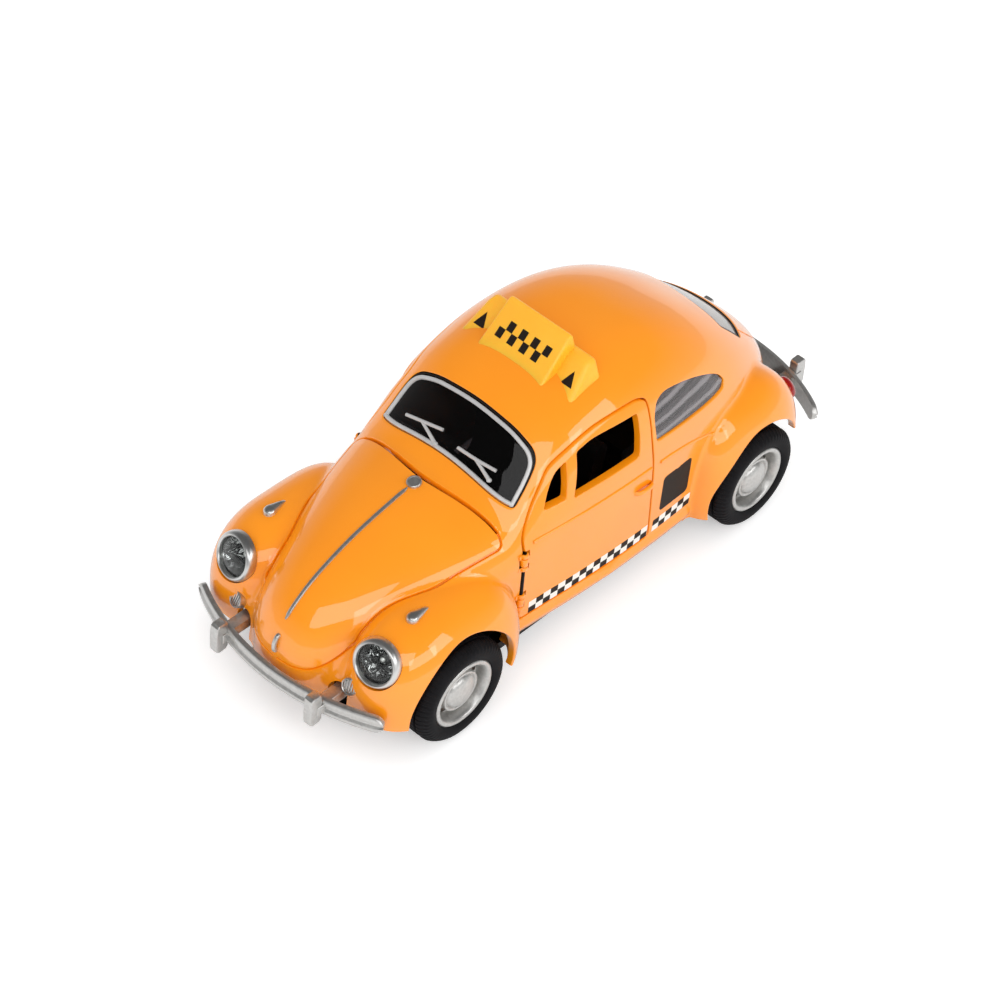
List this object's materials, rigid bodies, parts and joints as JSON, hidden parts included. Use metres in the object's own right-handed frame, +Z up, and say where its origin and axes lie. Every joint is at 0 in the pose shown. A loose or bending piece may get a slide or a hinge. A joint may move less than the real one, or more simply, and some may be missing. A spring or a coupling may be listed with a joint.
{
  "type": "toy taxi",
  "caption": "Die-cast toy taxi: rounded saloon body with separate wings, opening doors, rolling wheels, wind-back motor, bumpers, lamps and a roof sign.",
  "frame": {"origin": "on the floor under the middle of the car's length and width", "axes": "+Z up, the front of the car faces -Y, the car's left side is +X"},
  "size_m": [0.0442, 0.1126, 0.0474],
  "materials": {
    "paint": "gloss",
    "steel": "satin",
    "spring_steel": "blued",
    "clear_plastic": "clear",
    "black_plastic": "matte",
    "plated_plastic": "bright",
    "tyre": "matte",
    "motor_plastic": "gloss",
    "gear_plastic": "satin",
    "bumper_metal": "satin silver",
    "sign_plastic": "satin",
    "reflector": "bright",
    "red_plastic": "gloss"
  },
  "bodies": {
    "body": {"body_shell": "paint", "hinge_pin_left": "steel", "hinge_pin_right": "steel", "window_insert": "clear_plastic", "interior_tub": "black_plastic", "steering_wheel": "black_plastic", "chassis": "black_plastic", "screw_front": "steel", "screw_rear": "steel", "motor_case": "motor_plastic", "motor_cover": "motor_plastic", "idler_arbor": "steel", "spring_arbor": "steel", "front_bumper": "bumper_metal", "rear_bumper": "bumper_metal", "taxi_sign": "sign_plastic", "headlamp_ring_left": "plated_plastic", "headlamp_ring_right": "plated_plastic", "headlamp_dish_left": "reflector", "headlamp_dish_right": "reflector", "headlamp_lens_left": "clear_plastic", "headlamp_lens_right": "clear_plastic", "blinker_left": "plated_plastic", "blinker_right": "plated_plastic", "horn_grille_left": "plated_plastic", "horn_grille_right": "plated_plastic", "tail_lamp_left": "red_plastic", "tail_lamp_right": "red_plastic", "bonnet_strip": "plated_plastic", "bonnet_disc": "plated_plastic", "bonnet_handle": "plated_plastic"},
    "left_door": {"door_left": "paint"},
    "right_door": {"door_right": "paint"},
    "front_wheels": {"front_axle": "steel", "hub_front_left": "plated_plastic", "hub_front_right": "plated_plastic", "tyre_front_left": "tyre", "tyre_front_right": "tyre"},
    "rear_wheels": {"rear_axle": "steel", "hub_rear_left": "plated_plastic", "hub_rear_right": "plated_plastic", "tyre_rear_left": "tyre", "tyre_rear_right": "tyre", "drive_pinion": "gear_plastic"},
    "middle_gear": {"idler_gear": "gear_plastic"},
    "spring_drum": {"spring_gear": "gear_plastic", "mainspring": "spring_steel"}
  },
  "joints": [
    {"name": "left_door_hinge", "type": "hinge", "parent": "body", "child": "left_door", "pos_m": [0.01719, -0.01925, 0.018], "axis": [0, 0, -1], "range_deg": [0, 65]},
    {"name": "right_door_hinge", "type": "hinge", "parent": "body", "child": "right_door", "pos_m": [-0.01719, -0.01925, 0.018], "axis": [0, 0, 1], "range_deg": [0, 65]},
    {"name": "front_axle_spin", "type": "hinge", "parent": "body", "child": "front_wheels", "pos_m": [0, -0.0355, 0.0089], "axis": [1, 0, 0], "continuous": true},
    {"name": "rear_axle_spin", "type": "hinge", "parent": "body", "child": "rear_wheels", "pos_m": [0, 0.0312, 0.0089], "axis": [1, 0, 0], "continuous": true},
    {"name": "middle_gear_spin", "type": "hinge", "parent": "body", "child": "middle_gear", "pos_m": [0, 0.02523, 0.01107], "axis": [1, 0, 0], "continuous": true},
    {"name": "spring_drum_spin", "type": "hinge", "parent": "body", "child": "spring_drum", "pos_m": [0, 0.01667, 0.01182], "axis": [1, 0, 0], "continuous": true}
  ],
  "couplings": [
    {"joint": "middle_gear_spin", "follows": "rear_axle_spin", "ratio": -0.75},
    {"joint": "spring_drum_spin", "follows": "rear_axle_spin", "ratio": 0.54545}
  ]
}
